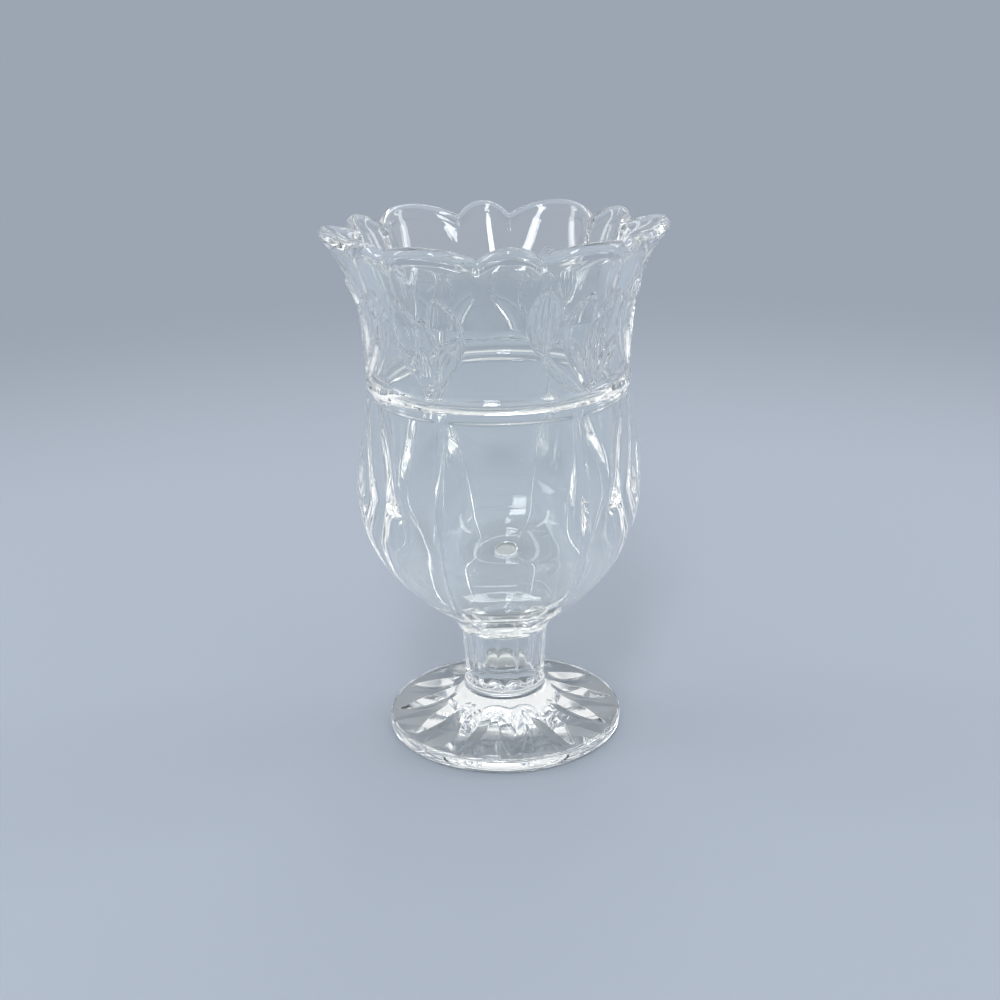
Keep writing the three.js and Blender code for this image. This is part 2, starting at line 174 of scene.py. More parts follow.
@dataclass(frozen=True)
class PressedGlass:
    """Soda-lime glass, pressed in a mould and fire-polished: clear, bright and faintly wavy.

    The flame melts the mould's fine marks, so the gloss is mirror-like, and what is left is a slow
    waviness that makes the highlights wander a little.
    """

    name: str = "pressed_glass"
    colour: str = "#FBFDFC"
    ior: float = 1.52
    roughness: float = 0.0
    wave_length: float = 9.0  # millimetres
    wave_height: float = 0.012  # millimetres
    wave_detail: float = 2.0  # finer waves that ride on the slow ones
    wave_fineness: float = 0.4  # and how strong they are, from 0 to 1

    def material(self) -> bpy.types.Material:
        """Makes the material.

        Returns:
            The material.
        """
        made = new_material(self.name)
        tree = made.node_tree
        place = add_node(tree, "ShaderNodeTexCoord")
        wave = add_node(tree, "ShaderNodeTexNoise", {
            "Vector": place.outputs["Object"],
            "Scale": 1 / (self.wave_length * MM),
            "Detail": self.wave_detail,
            "Roughness": self.wave_fineness,
        })
        bump = add_node(tree, "ShaderNodeBump", {
            "Strength": 1.0,
            "Distance": self.wave_height * MM,
            "Height": wave.outputs["Fac"],
        })
        shader = add_node(tree, "ShaderNodeBsdfPrincipled", {
            "Base Color": linear(self.colour),
            "Roughness": self.roughness,
            "IOR": self.ior,
            "Transmission Weight": 1.0,
            "Normal": bump.outputs["Normal"],
        })
        add_node(tree, "ShaderNodeOutputMaterial", {"Surface": shader.outputs["BSDF"]})
        return made


@dataclass(frozen=True)
class FusedJoint:
    """The place inside the glass where two hot parts have run into one: nothing shows there."""

    name: str = "fused_joint"
    colour: str = "#FFFFFF"  # takes no light away

    def material(self) -> bpy.types.Material:
        """Makes the material.

        Returns:
            The material.
        """
        made = new_material(self.name)
        shader = add_node(made.node_tree, "ShaderNodeBsdfTransparent", {"Color": linear(self.colour)})
        add_node(made.node_tree, "ShaderNodeOutputMaterial", {"Surface": shader.outputs["BSDF"]})
        return made


@dataclass(frozen=True)
class PaintedFloor:
    """Matt studio paint on a floor that runs on into the backdrop: no line shows where it ends.

    Near the vase it takes light and shadow, and far from it, it is the plain colour of the backdrop.
    """

    name: str = "painted_floor"
    colour: str = "#9CA5B2"
    roughness: float = 0.9
    shaded: float = 350.0  # distance from the vase up to which it is lit as paint
    plain: float = 1000.0  # distance from which it is the backdrop

    def material(self) -> bpy.types.Material:
        """Makes the material.

        Returns:
            The material.
        """
        made = new_material(self.name)
        tree = made.node_tree
        paint = add_node(tree, "ShaderNodeBsdfPrincipled", {
            "Base Color": linear(self.colour),
            "Roughness": self.roughness,
        })
        backdrop = add_node(tree, "ShaderNodeEmission", {"Color": linear(self.colour), "Strength": 1.0})
        place = add_node(tree, "ShaderNodeTexCoord")
        reach = add_node(tree, "ShaderNodeVectorMath", {0: place.outputs["Object"]}, operation="LENGTH")
        share = add_node(tree, "ShaderNodeMapRange", {
            "Value": reach.outputs["Value"],
            "From Min": self.shaded * MM,
            "From Max": self.plain * MM,
        }, interpolation_type="SMOOTHSTEP")
        both = add_node(tree, "ShaderNodeMixShader", {
            0: share.outputs["Result"],
            1: paint.outputs["BSDF"],
            2: backdrop.outputs["Emission"],
        })
        add_node(tree, "ShaderNodeOutputMaterial", {"Surface": both.outputs[0]})
        return made


@dataclass(frozen=True)
class Finishes:
    """The materials that the parts share."""

    glass: bpy.types.Material
    joint: bpy.types.Material


class RingTree:
    """A Geometry Nodes tree that repeats one sector round the vase's axis and welds the copies."""

    def __init__(self) -> None:
        """Builds the tree."""
        tree = bpy.data.node_groups.new("ring_of_sectors", "GeometryNodeTree")
        sockets = tree.interface
        sockets.new_socket("Sector", in_out="INPUT", socket_type="NodeSocketGeometry")
        self.copies = sockets.new_socket("Copies", in_out="INPUT", socket_type="NodeSocketInt").identifier
        self.weld = sockets.new_socket("Weld", in_out="INPUT", socket_type="NodeSocketFloat").identifier
        self.glass = sockets.new_socket("Glass", in_out="INPUT", socket_type="NodeSocketMaterial").identifier
        self.joint = sockets.new_socket("Joint", in_out="INPUT", socket_type="NodeSocketMaterial").identifier
        sockets.new_socket("Ring", in_out="OUTPUT", socket_type="NodeSocketGeometry")
        start = add_node(tree, "NodeGroupInput")
        points = add_node(tree, "GeometryNodePoints", {"Count": start.outputs["Copies"]})
        place = add_node(tree, "GeometryNodeInputIndex")
        step = add_node(tree, "ShaderNodeMath", {0: TURN, 1: start.outputs["Copies"]}, operation="DIVIDE")
        turn = add_node(
            tree, "ShaderNodeMath", {0: place.outputs["Index"], 1: step.outputs[0]}, operation="MULTIPLY",
        )
        rotation = add_node(tree, "ShaderNodeCombineXYZ", {"Z": turn.outputs[0]})
        copies = add_node(tree, "GeometryNodeInstanceOnPoints", {
            "Points": points.outputs[0],
            "Instance": start.outputs["Sector"],
            "Rotation": rotation.outputs[0],
        })
        real = add_node(tree, "GeometryNodeRealizeInstances", {"Geometry": copies.outputs[0]})
        welded = add_node(tree, "GeometryNodeMergeByDistance", {
            "Geometry": real.outputs[0],
            "Distance": start.outputs["Weld"],
        })
        glass = add_node(tree, "GeometryNodeSetMaterial", {
            "Geometry": welded.outputs[0],
            "Material": start.outputs["Glass"],
        })
        marked = add_node(tree, "GeometryNodeInputNamedAttribute", {"Name": JOINT}, data_type="BOOLEAN")
        joint = add_node(tree, "GeometryNodeSetMaterial", {
            "Geometry": glass.outputs[0],
            "Selection": marked.outputs["Attribute"],
            "Material": start.outputs["Joint"],
        })
        smooth = add_node(tree, "GeometryNodeSetShadeSmooth", {"Geometry": joint.outputs[0]})
        add_node(tree, "NodeGroupOutput", {"Ring": smooth.outputs[0]})
        self.tree = tree

    def put_on(self, carrier: bpy.types.Object, copies: int) -> bpy.types.Modifier:
        """Adds the tree to an object.

        Args:
            carrier: the object whose mesh is one sector.
            copies: how many sectors make a full turn.

        Returns:
            The modifier, which still needs its two materials.
        """
        modifier = carrier.modifiers.new("ring", "NODES")
        modifier.node_group = self.tree
        modifier[self.copies] = copies
        modifier[self.weld] = WELD
        return modifier

    @staticmethod
    def finished(carrier: bpy.types.Object, name: str) -> bpy.types.Object:
        """Turns what the tree makes into a plain mesh, and removes the carrier with its modifier.

        Args:
            carrier: the object that the tree is on.
            name: the name of the finished piece.

        Returns:
            The finished piece.
        """
        bpy.context.view_layer.update()
        graph = bpy.context.evaluated_depsgraph_get()
        mesh = bpy.data.meshes.new_from_object(carrier.evaluated_get(graph))
        bpy.data.objects.remove(carrier)
        mesh.name = name
        piece = bpy.data.objects.new(name, mesh)
        bpy.context.scene.collection.objects.link(piece)
        return piece


@dataclass(frozen=True)
class Skin:
    """The skin of one sector, as rows of points that run round it."""

    points: np.ndarray  # radius, angle and height, by row and column
    joints: tuple[int, ...]  # the rows that a joint face joins to the next one
    closed: bool  # whether the last row is joined to the first

    def mesh(self, name: str) -> bpy.types.Mesh:
        """Makes the mesh, with its joint faces marked.

        Args:
            name: the mesh's name.

        Returns:
            The mesh, in metres.
        """
        radius, angle, height = self.points[..., 0], self.points[..., 1], self.points[..., 2]
        places = np.stack([radius * np.sin(angle), -radius * np.cos(angle), height], -1) * MM
        down, across = radius.shape
        bands = np.arange(down if self.closed else down - 1)
        here = bands[:, None] * across + np.arange(across - 1)
        there = ((bands + 1) % down)[:, None] * across + np.arange(across - 1)
        faces = np.stack([here, here + 1, there + 1, there], -1).reshape(-1, 4)
        mesh = bpy.data.meshes.new(name)
        mesh.from_pydata(places.reshape(-1, 3).tolist(), [], faces.tolist())
        mark = mesh.attributes.new(JOINT, "BOOLEAN", "FACE")
        mark.data.foreach_set("value", np.repeat(np.isin(bands, self.joints), across - 1))
        return mesh


@dataclass
class Part(ABC):
    """One part of the vase, made as one sector that is repeated round the axis."""

    node: Node
    copies: int  # sectors in a full turn

    @abstractmethod
    def skin(self) -> Skin:
        """Works out the skin of one sector.

        Returns:
            The skin.
        """

    def dress(self, modifier: bpy.types.Modifier, ring: RingTree, finishes: Finishes) -> None:
        """Gives the skin its glass, and the joint faces the finish that hides them."""
        modifier[ring.glass] = finishes.glass
        modifier[ring.joint] = finishes.joint

    def build(self, ring: RingTree, finishes: Finishes) -> bpy.types.Object:
        """Builds and dresses the part, and puts it in the place of its node.

        Args:
            ring: the tree that repeats the sector.
            finishes: the materials.

        Returns:
            The finished piece.
        """
        name = self.node.value + "_glass"
        carrier = bpy.data.objects.new(name + "_sector", self.skin().mesh(self.node.value))
        bpy.context.scene.collection.objects.link(carrier)
        self.dress(ring.put_on(carrier, self.copies), ring, finishes)
        piece = ring.finished(carrier, name)
        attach(piece, "root")
        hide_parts(self.node.value)
        log.info("%s: %d faces", piece.name, len(piece.data.polygons))
        return piece


@dataclass
class Foot(Part):
    """The coned foot: a thick disc with leaf-shaped mitre cuts, standing on a flat ring."""

    node: Node = Node.FOOT
    copies: int = 12
    radius: float = 50.0
    edge: float = 6.0  # height of the disc's edge
    edge_round: float = 1.6  # radius of its rounding, below and above
    top: float = 17.0  # height of the joint with the stem
    sweep_reach: float = 0.5  # share of the radius at which the top bends upwards
    sweep_rise: float = 0.36  # share of the way from the edge's height to the top's at that place
    rest_width: float = 8.4  # of the flat ring that it stands on
    hollow_depth: float = 2.0
    collar_radius: float = 17.5  # at the joint, under the stem's collar
    cut_depth: float = 1.7
    cut_width: float = 11.5
    cut_widest: float = 32.0  # radius at which a cut is widest
    cut_to_edge: float = 2.4
    cut_run_out: float = 9.0  # length over which a cut rises to the collar
    cut_inner: float = 0.5  # how open a cut still is at the collar
    cut_point: float = 1.2  # 1 rounds a cut's outer end as a sine does, and more sharpens it
    cut_face: float = 1.1  # 1 makes a cut's two faces flat, and more hollows them
    cut_least: float = 0.04  # least share of a sector for the columns on each side of a cut's middle
    cut_most: float = 0.47  # and the most
    cut_columns: int = 33
    land_steps: int = 6  # between a cut's edge and the sector's
    hollow_steps: int = 11
    edge_steps: int = 8
    top_steps: int = 84

    def opening(self, radius: np.ndarray) -> np.ndarray:
        """Width of a cut as a share of its greatest.

        Args:
            radius: distance from the axis.

        Returns:
            0 at the cut's outer point and 1 where it is widest.
        """
        point = self.radius - self.cut_to_edge
        outward = np.clip((point - radius) / (point - self.cut_widest), 0, 1)
        inward = np.clip((self.cut_widest - radius) / (self.cut_widest - self.collar_radius), 0, 1)
        inner = 1 - (1 - self.cut_inner) * inward ** 2
        return np.where(radius > self.cut_widest, np.sin(TURN / 4 * outward) ** self.cut_point, inner)

    def skin(self) -> Skin:
        """Works out the skin of one sector, from the middle of the underside to the joint.

        Returns:
            The skin.
        """
        rim = self.radius - self.edge_round
        inner = np.linspace(0, 1, self.hollow_steps + 1)
        under = np.stack([(rim - self.rest_width) * inner, self.hollow_depth * (1 - inner ** 2)], -1)
        low = arc((rim, self.edge_round), self.edge_round, -0.25, 0, self.edge_steps)
        high = arc((rim, self.edge - self.edge_round), self.edge_round, 0, 0.25, self.edge_steps)
        bend = (self.radius * self.sweep_reach, self.edge + (self.top - self.edge) * self.sweep_rise)
        top = bezier([(rim, self.edge), bend, (self.collar_radius, self.top)], self.top_steps)[1:]
        profile = np.concatenate([under, low, high, top, [(0, self.top)]])
        radius = profile[:, :1]

        first = len(under) + len(low) + len(high)
        cut = slice(first, first + len(top))
        opening = np.zeros_like(radius)
        opening[cut, 0] = self.opening(top[:, 0])
        run_out = ease(top[:, 0], self.collar_radius, self.collar_radius + self.cut_run_out)
        depth = np.zeros_like(radius)
        depth[cut, 0] = self.cut_depth * opening[cut, 0] * run_out

        pitch = TURN / self.copies
        clear_of_axis = np.maximum(radius, 1)
        half_cut = opening * self.cut_width / (2 * clear_of_axis)
        half_cut = np.clip(half_cut, pitch * self.cut_least, pitch * self.cut_most)
        share = np.linspace(-1, 1, self.cut_columns)[None, :]
        land = np.linspace(0, 1, self.land_steps + 1)[None, 1:]
        beside = half_cut + (pitch / 2 - half_cut) * land
        angle = np.concatenate([-beside[:, ::-1], half_cut * share, beside], 1)
        across = np.concatenate([np.ones_like(land), np.abs(share), np.ones_like(land)], 1)
        height = profile[:, 1:] - depth * (1 - across ** self.cut_face)
        points = np.stack(np.broadcast_arrays(radius, angle, height), -1)
        return Skin(points, joints=(len(points) - 2,), closed=False)


@dataclass
class Stem(Part):
    """The fluted stem, with a collar at its foot and a tapered candle well in its top."""

    node: Node = Node.STEM
    copies: int = 12
    base: float = 17.0  # height of its foot above the table
    height: float = 29.0
    foot_radius: float = 16.6
    top_radius: float = 18.8
    collar_height: float = 3.6
    collar_proud: float = 0.9  # how far it stands out from the stem
    collar_round: float = 1.2
    collar_turn: float = 0.2  # turns round the collar's edge at which the flutes' wall begins
    flute_depth: float = 1.0
    flute_shape: float = 0.8  # 1 gives a flute the section of a cosine, and less a fuller one
    flute_plain: float = 0.2  # distance from each end of a flute that has no depth yet
    flute_foot: float = 1.8  # distance from its lower end where it has its full depth
    flute_top: float = 1.6  # and from its upper end
    arch: float = 2.4  # how much lower its lower end is in the middle than at its sides
    top_arch: float = 1.44  # and how much higher its upper end is
    well_radius: float = 11.2  # at its mouth
    well_taper: float = 0.8  # how much smaller the radius is lower down
    well_base: float = 11.0  # height of its floor above the stem's foot
    well_round: float = 2.8
    columns: int = 29
    collar_steps: int = 10
    flute_steps: int = 60
    flute_crowding: float = 1.3  # 1 spaces the rows evenly, and more sets them closer low down
    well_steps: int = 13
    well_round_steps: int = 12

    def flute(self, offset: np.ndarray, rise: np.ndarray) -> np.ndarray:
        """How deep a flute is.

        Args:
            offset: place across it, from -0.5 to 0.5.
            rise: height above the stem's foot.

        Returns:
            The depth below the stem's plain cone.
        """
        across = np.cos(offset * math.pi) ** self.flute_shape
        begin = self.collar_height + self.arch * (1 - across)
        end = self.height - self.top_arch * (1 - across)
        opened = ease(rise - begin, self.flute_plain, self.flute_foot)
        closing = ease(end - rise, self.flute_plain, self.flute_top)
        return self.flute_depth * across * opened * closing

    def skin(self) -> Skin:
        """Works out the skin of one sector, from the lower joint up and down into the well.

        Returns:
            The skin.
        """
        offset = np.linspace(-0.5, 0.5, self.columns)
        collar = self.foot_radius + self.collar_proud
        collar_centre = (collar - self.collar_round, self.collar_height - self.collar_round)
        bead = arc(collar_centre, self.collar_round, 0, self.collar_turn, self.collar_steps)
        before = np.concatenate([[(0, 0), (collar, 0)], bead])

        share = np.linspace(0, 1, self.flute_steps + 1)[1:, None] ** self.flute_crowding
        rise = self.collar_height + (self.height - self.collar_height) * share
        cone = self.foot_radius + (self.top_radius - self.foot_radius) * rise / self.height

        down = np.linspace(0, 1, self.well_steps + 1)
        drop = self.height - self.well_base - self.well_round
        wall = np.stack([self.well_radius - self.well_taper * down, self.height - drop * down], -1)
        bottom = self.well_radius - self.well_taper
        well_centre = (bottom - self.well_round, self.well_base + self.well_round)
        corner = arc(well_centre, self.well_round, 0, -0.25, self.well_round_steps)
        after = np.concatenate([wall, corner[1:], [(0, self.well_base)]])

        blank = np.zeros_like(offset)
        fluted = cone - self.flute(offset, rise)
        radius = np.concatenate([before[:, :1] + blank, fluted, after[:, :1] + blank])
        height = np.concatenate([before[:, 1:] + blank, rise + blank, after[:, 1:] + blank]) + self.base
        angle = np.broadcast_to(offset * TURN / self.copies, radius.shape)
        top = len(before) + len(rise) - 1
        return Skin(np.stack([radius, angle, height], -1), joints=(0, top), closed=False)


@dataclass
class Bowl(Part):
    """The bowl: a bulging body with six panels that meet at ribs, round a drafted hollow."""

    node: Node = Node.BOWL
    copies: int = 6
    base: float = 46.0  # height of its foot above the table
    height: float = 106.5
    foot_radius: float = 19.6
    radius: float = 58.2
    widest: float = 62.0  # height at which the bowl has that radius
    mouth: float = 52.6  # radius at the top
    spread: float = 0.1  # share of the way out to that radius where the lower wall turns upwards
    spread_rise: float = 0.17  # share of the way up at that place
    belly: float = 0.3  # share of the way up to the widest place where the wall grows steep
    shoulder_bend: float = 0.45  # share of the way from there to the mouth where it turns inwards
    mouth_bend: float = 0.6  # and where it is upright again
    floor: float = 12.0  # its thickness round the well
    floor_crown: float = 1.0
    hollow_reach: float = 0.75  # share of the way out to the wall where the floor turns up
    hollow_turn: float = 0.35  # share of the way up to the widest place where the wall grows steep
    cavity: float = 46.2  # radius of the hollow at the top
    cavity_draft: float = 0.8  # how much smaller it is at the widest place
    flat_foot: float = 0.3  # 0 leaves a panel round, 1 makes it flat, and more makes it hollow
    flat_most: float = 1.0
    flat_top: float = 0.35
    shoulder: float = 46.0  # height above the bowl's foot where a panel turns flatter
    shoulder_height: float = 20.0  # over which it becomes as flat as it gets
    panel_end: float = 3.4  # from a panel's upper edge to the ring
    panel_step: float = 1.2  # height over which the panel ends
    rib_width: float = 4.5
    rib_proud: float = 0.8
    well: float = 11.2  # radius of the candle well's mouth
    columns: int = 73
    low_steps: int = 80
    high_steps: int = 60
    hollow_steps: int = 60
    draft_steps: int = 20

    def outside(self) -> np.ndarray:
        """Works out the outline along a rib, from the foot to the mouth.

        Returns:
            Points of radius and height.
        """
        out = self.foot_radius + (self.radius - self.foot_radius) * self.spread
        low = [
            (self.foot_radius, 0),
            (out, self.widest * self.spread_rise),
            (self.radius, self.widest * self.belly),
            (self.radius, self.widest),
        ]
        span = self.height - self.widest
        high = [
            (self.radius, self.widest),
            (self.radius, self.widest + span * self.shoulder_bend),
            (self.mouth, self.widest + span * self.mouth_bend),
            (self.mouth, self.height),
        ]
        return np.concatenate([bezier(low, self.low_steps), bezier(high, self.high_steps)[1:]])

    def inside(self) -> np.ndarray:
        """Works out the outline of the hollow, from the mouth down and through the well's mouth.

        Returns:
            Points of radius and height.
        """
        wall = self.cavity - self.cavity_draft
        reach = self.well + (wall - self.well) * self.hollow_reach
        low = [
            (self.well, self.floor),
            (reach, self.floor + self.floor_crown),
            (wall, self.floor + (self.widest - self.floor) * self.hollow_turn),
            (wall, self.widest),
        ]
        high = [(wall, self.widest), (self.cavity, self.height)]
        up = np.concatenate([bezier(low, self.hollow_steps), bezier(high, self.draft_steps)[1:]])
        return np.concatenate([up[::-1], [(self.well, self.floor / 2), (self.well, 0)]])

    def relief(self, offset: np.ndarray, radius: np.ndarray, height: np.ndarray) -> np.ndarray:
        """How far the panels lie inside the plain body, and the ribs outside it.

        Args:
            offset: angle from a panel's middle.
            radius: the plain radius there.
            height: height above the bowl's foot.

        Returns:
            The change of radius.
        """
        half = TURN / self.copies / 2
        flattest = self.shoulder + self.shoulder_height
        rising = (self.flat_most - self.flat_foot) * ease(height, self.shoulder, flattest)
        falling = (self.flat_most - self.flat_top) * ease(height, flattest, self.height)
        top = self.height - self.panel_end
        shown = ease(height, 0, self.floor / 2) * (1 - ease(height, top - self.panel_step, top))
        flat = (self.flat_foot + rising - falling) * shown
        panel = -radius * flat * (1 - math.cos(half) / np.cos(offset))
        share = (half - np.abs(offset)) * radius / (self.rib_width / 2)
        rib = self.rib_proud * np.sqrt(np.clip(1 - share ** 2, 0, 1))
        return panel + rib * ease(height, 0, self.floor) * ease(self.height - height, 0, self.panel_end)

    def skin(self) -> Skin:
        """Works out the skin of one sector, up the outside and down the inside.

        Returns:
            The skin.
        """
        outside = self.outside()
        inside = self.inside()
        closer_at_ribs = np.sin(np.linspace(-1, 1, self.columns) * math.pi / 2)
        offset = closer_at_ribs * TURN / self.copies / 2
        radius, height = outside[:, :1], outside[:, 1:]
        outer = radius + self.relief(offset, radius, height)
        radii = np.concatenate([outer, inside[:, :1] + 0 * offset])
        heights = np.concatenate([height, inside[:, 1:]]) + self.base
        points = np.stack(np.broadcast_arrays(radii, offset, heights), -1)
        return Skin(points, joints=(len(outside) - 1, len(points) - 1), closed=True)


@dataclass(frozen=True)
class Leaf:
    """One petal, leaf or bud of the relief, pointed at both ends, laid on the neck's wall.

    Its place is measured round the wall from the middle of its spray, and up it from the neck's foot.
    """

    across: float  # of its lower point
    up: float  # of its lower point
    length: float
    width: float
    lean: float = 0.0  # in radians, to the right
    proud: float = 1.0
    bend: float = 0.0  # how far its middle bows to the right
    belly: float = 1.0  # under 1 is widest low down, over 1 high up
    point: float = 0.75  # under 1 has rounder ends
    tip: float = 0.2  # half width under which its ends are shaped no further
    slope: float = 1.1  # width of its sloping edge
    dish: float = 0.45  # share of its height by which its middle is lower than its sides
    rim: float = 0.6
    rim_width: float = 0.5
    ribs: int = 1  # raised lines from end to end
    rib_proud: float = 0.45
    rib_width: float = 0.5  # of a single line
    rib_start: float = 0.6  # distance from the edge where the lines begin to rise
    rib_full: float = 1.4  # distance where they have their full height

    def turned(self, lean: float) -> "Leaf":
        """Leans the leaf's spray about the place on the neck's foot that is below its middle.

        Args:
            lean: how far, in radians to the right.

        Returns:
            The same leaf in its new place.
        """
        across = self.across * math.cos(lean) + self.up * math.sin(lean)
        up = self.up * math.cos(lean) - self.across * math.sin(lean)
        return replace(self, across=across, up=up, lean=self.lean + lean)

    def height(self, across: np.ndarray, up: np.ndarray) -> np.ndarray:
        """How far the relief stands out at places on the wall.

        Args:
            across: distance round the wall from the spray's middle.
            up: distance up the wall from the neck's foot.

        Returns:
            Height above the wall, 0 outside the leaf.
        """
        across, up = across - self.across, up - self.up
        along = (across * math.sin(self.lean) + up * math.cos(self.lean)) / self.length
        side = across * math.cos(self.lean) - up * math.sin(self.lean)
        inside = np.clip(along, 0, 1)
        side = side - self.bend * 4 * inside * (1 - inside)
        half = self.width / 2 * np.sin(math.pi * inside ** self.belly) ** self.point
        depth = (half - np.abs(side)) * ((along > 0) & (along < 1))
        share = np.clip(side / np.maximum(half, self.tip), -1, 1)
        body = self.proud * ease(depth, 0, self.slope) * (1 - self.dish * (1 - share ** 2))
        rim = self.rim * np.exp(-((depth - self.slope) / self.rim_width) ** 2)
        if self.ribs > 1:
            lines = 0.5 + 0.5 * np.cos(math.pi * share * (self.ribs + 1))
        else:
            lines = np.exp(-(side / self.rib_width) ** 2)
        rib = self.rib_proud * lines * ease(depth, self.rib_start, self.rib_full)
        return np.where(depth > 0, body + rim + rib, 0)


@dataclass
class Neck(Part):
    """The flared neck: a moulded ring, tulips in relief and a scalloped, fire-polished lip."""

    node: Node = Node.NECK
    copies: int = 3
    scallops: int = 6  # of each size
    base: float = 152.5  # height of its foot above the table
    height: float = 57.5  # up to the lip's dips
    mouth: float = 52.6  # radius of the bowl's mouth, where the neck begins
    cavity: float = 46.2  # radius of the hollow there
    waist_in: float = 1.2  # how far the wall draws in above the ring
    waist_height: float = 12.0  # where it is narrowest
    lip_flare: float = 9.0  # how far it leans out from there at the lip's dips
    scallop_rise: float = 5.0  # from a dip to a crest
    large_flare: float = 6.2  # how much further a large scallop leans out in its middle
    small_flare: float = 3.2  # and a small one
    flare_height: float = 26.0  # over which the scallops' flare grows
    small_share: float = 0.36  # share of the turn that the small scallops take
    lip: float = 4.0  # thickness of the wall there
    lip_bead: float = 0.75  # how far the lip swells past the wall on each side
    wall_taper: float = 1.5  # 1 thins the wall evenly up to the lip, and more does so low down
    ring_height: float = 4.8
    ring_proud: float = 1.5
    ring_start: float = -0.9  # angle round the ring's section at its foot, in radians
    ring_end: float = 1.35  # and where it meets the wall
    spray_sink: float = 1.0  # how far a spray's foot lies below the top of the ring
    petal_rise: float = 3.0  # from a spray's foot to its petals
    blooms: tuple[float, ...] = (-32.0, 36.0)  # degrees from a panel's middle to a spray's foot
    bloom_lean: tuple[float, ...] = (-0.1, 0.12)  # how far each bloom leans, in radians to the right
    bud_spray: int = 1  # the bloom that has the bud
    bud_turn: float = -22.0  # degrees from that bloom to the bud
    bud_foot: float = 21.0  # height of the bud's lower point
    stalk_rise: float = 18.0  # how far the stalk rises on its way round the wall to the bud
    sector_start: float = -58.0  # degrees, on plain wall between two sprays
    plain_gap: float = 1.3  # between columns on plain wall
    bloom_gap: float = 0.44  # between columns on a bloom
    bloom_reach: float = 16.0  # from a spray's middle, over which the columns are closer
    bud_gap: float = 0.33  # between columns on the bud
    bud_reach: float = 8.5  # from the bud's middle
    trial_columns: int = 4001  # places from which the columns' own places are worked out
    ring_rows: int = 12
    lip_steps: int = 12
    # Stretches of the wall: first and last share of its height above the ring, and the number of rows.
    # The first of them outside holds the tulips, and the first of them inside is the lip's.
    outside_rows: tuple[tuple[float, float, int], ...] = ((0.01, 0.8, 86), (0.82, 1, 11))
    inside_rows: tuple[tuple[float, float, int], ...] = ((1, 0.9, 6), (0.86, 0, 14))

    def scallop(self, angle: np.ndarray) -> tuple[np.ndarray, np.ndarray]:
        """Shape of the lip at an angle.

        Args:
            angle: angle round the vase, from the middle of a small scallop.

        Returns:
            How high the lip is, from 0 at a dip to 1 at a crest, and how far it leans out.
        """
        half = TURN / self.scallops / 2
        small = self.small_share * half
        offset = np.abs((angle + half) % (2 * half) - half)
        is_small = offset < small
        along = np.where(is_small, offset / small, (half - offset) / (half - small))
        rise = 1 - along ** 2
        return rise, rise * np.where(is_small, self.small_flare, self.large_flare)

    def outer(self, angle: np.ndarray, height: np.ndarray) -> np.ndarray:
        """Outer radius of the plain wall.

        Args:
            angle: angle round the vase.
            height: height above the neck's foot.

        Returns:
            The radius.
        """
        below = np.maximum(0, self.waist_height - height) / self.waist_height
        above = np.maximum(0, height - self.waist_height) / (self.height - self.waist_height)
        started = np.maximum(0, height - self.height + self.flare_height) / self.flare_height
        waist = self.mouth - self.waist_in
        flare = self.scallop(angle)[1] * started
        return waist + self.waist_in * below ** 2 + self.lip_flare * above ** 2 + flare

    def normal(self, angle: np.ndarray, height: np.ndarray) -> np.ndarray:
        """Outward direction of the wall.

        Args:
            angle: angle round the vase.
            height: height above the neck's foot.

        Returns:
            Steps in radius and in height, whose length together is 1.
        """
        step = 0.25  # of height, to each side of the place
        rise = (self.outer(angle, height + step) - self.outer(angle, height - step)) / (2 * step)
        size = np.sqrt(1 + rise ** 2)
        return np.stack([1 / size, -rise / size], -1)

    def bloom(self) -> list[Leaf]:
        """Lists the leaves of a bloom: its middle petal, two side petals and two leaves on each side.

        Returns:
            The leaves.
        """
        foot = self.ring_height - self.spray_sink
        cup = foot + self.petal_rise
        leaves = [Leaf(0, cup, length=29, width=11, proud=2.2, belly=1.2, point=0.7, rib_proud=0.6)]
        for side in (-1, 1):
            leaves += [
                Leaf(side, cup, length=37, width=14.5, lean=0.22 * side, proud=1.4, bend=2.6 * side,
                     belly=1.3, point=0.6, rib_proud=0),
                Leaf(0.6 * side, foot, length=27, width=6.5, lean=0.52 * side, proud=0.9, bend=-1.2 * side),
                Leaf(side, foot, length=19, width=4, lean=0.2 * side, proud=1.6),
            ]
        return leaves

    def bud(self) -> list[Leaf]:
        """Lists the ribbed bud, its stalk and the leaf on it.

        Returns:
            The leaves, placed from the spray that the bud belongs to.
        """
        foot = self.ring_height - self.spray_sink
        reach = math.radians(self.bud_turn) * self.mouth
        stalk_foot = -1
        stalk_lean = math.atan2(reach - stalk_foot, self.stalk_rise)
        return [
            Leaf(reach, self.bud_foot, length=24.5, width=13, proud=0.9, point=0.55, rim=0, ribs=5,
                 rib_proud=1.3),
            Leaf(stalk_foot, foot, length=26, width=4.6, lean=stalk_lean, proud=0.9, bend=-2),
            Leaf(reach * 0.55, foot + 4, length=15, width=4.4, lean=-0.75, proud=0.8, bend=1.5),
        ]

    def relief(self, angle: np.ndarray, height: np.ndarray) -> np.ndarray:
        """How far the tulips stand out from the plain wall.

        Args:
            angle: angle round the vase.
            height: height above the neck's foot.

        Returns:
            Height above the wall, 0 between the tulips.
        """
        sprays = []
        for turn, lean in zip(self.blooms, self.bloom_lean):
            sprays += [(turn, leaf.turned(lean)) for leaf in self.bloom()]
        sprays += [(self.blooms[self.bud_spray], leaf) for leaf in self.bud()]
        found = np.zeros(np.broadcast(angle, height).shape)
        for turn, leaf in sprays:
            across = (angle - math.radians(turn)) * self.mouth
            found = np.maximum(found, leaf.height(across, height))
        return found

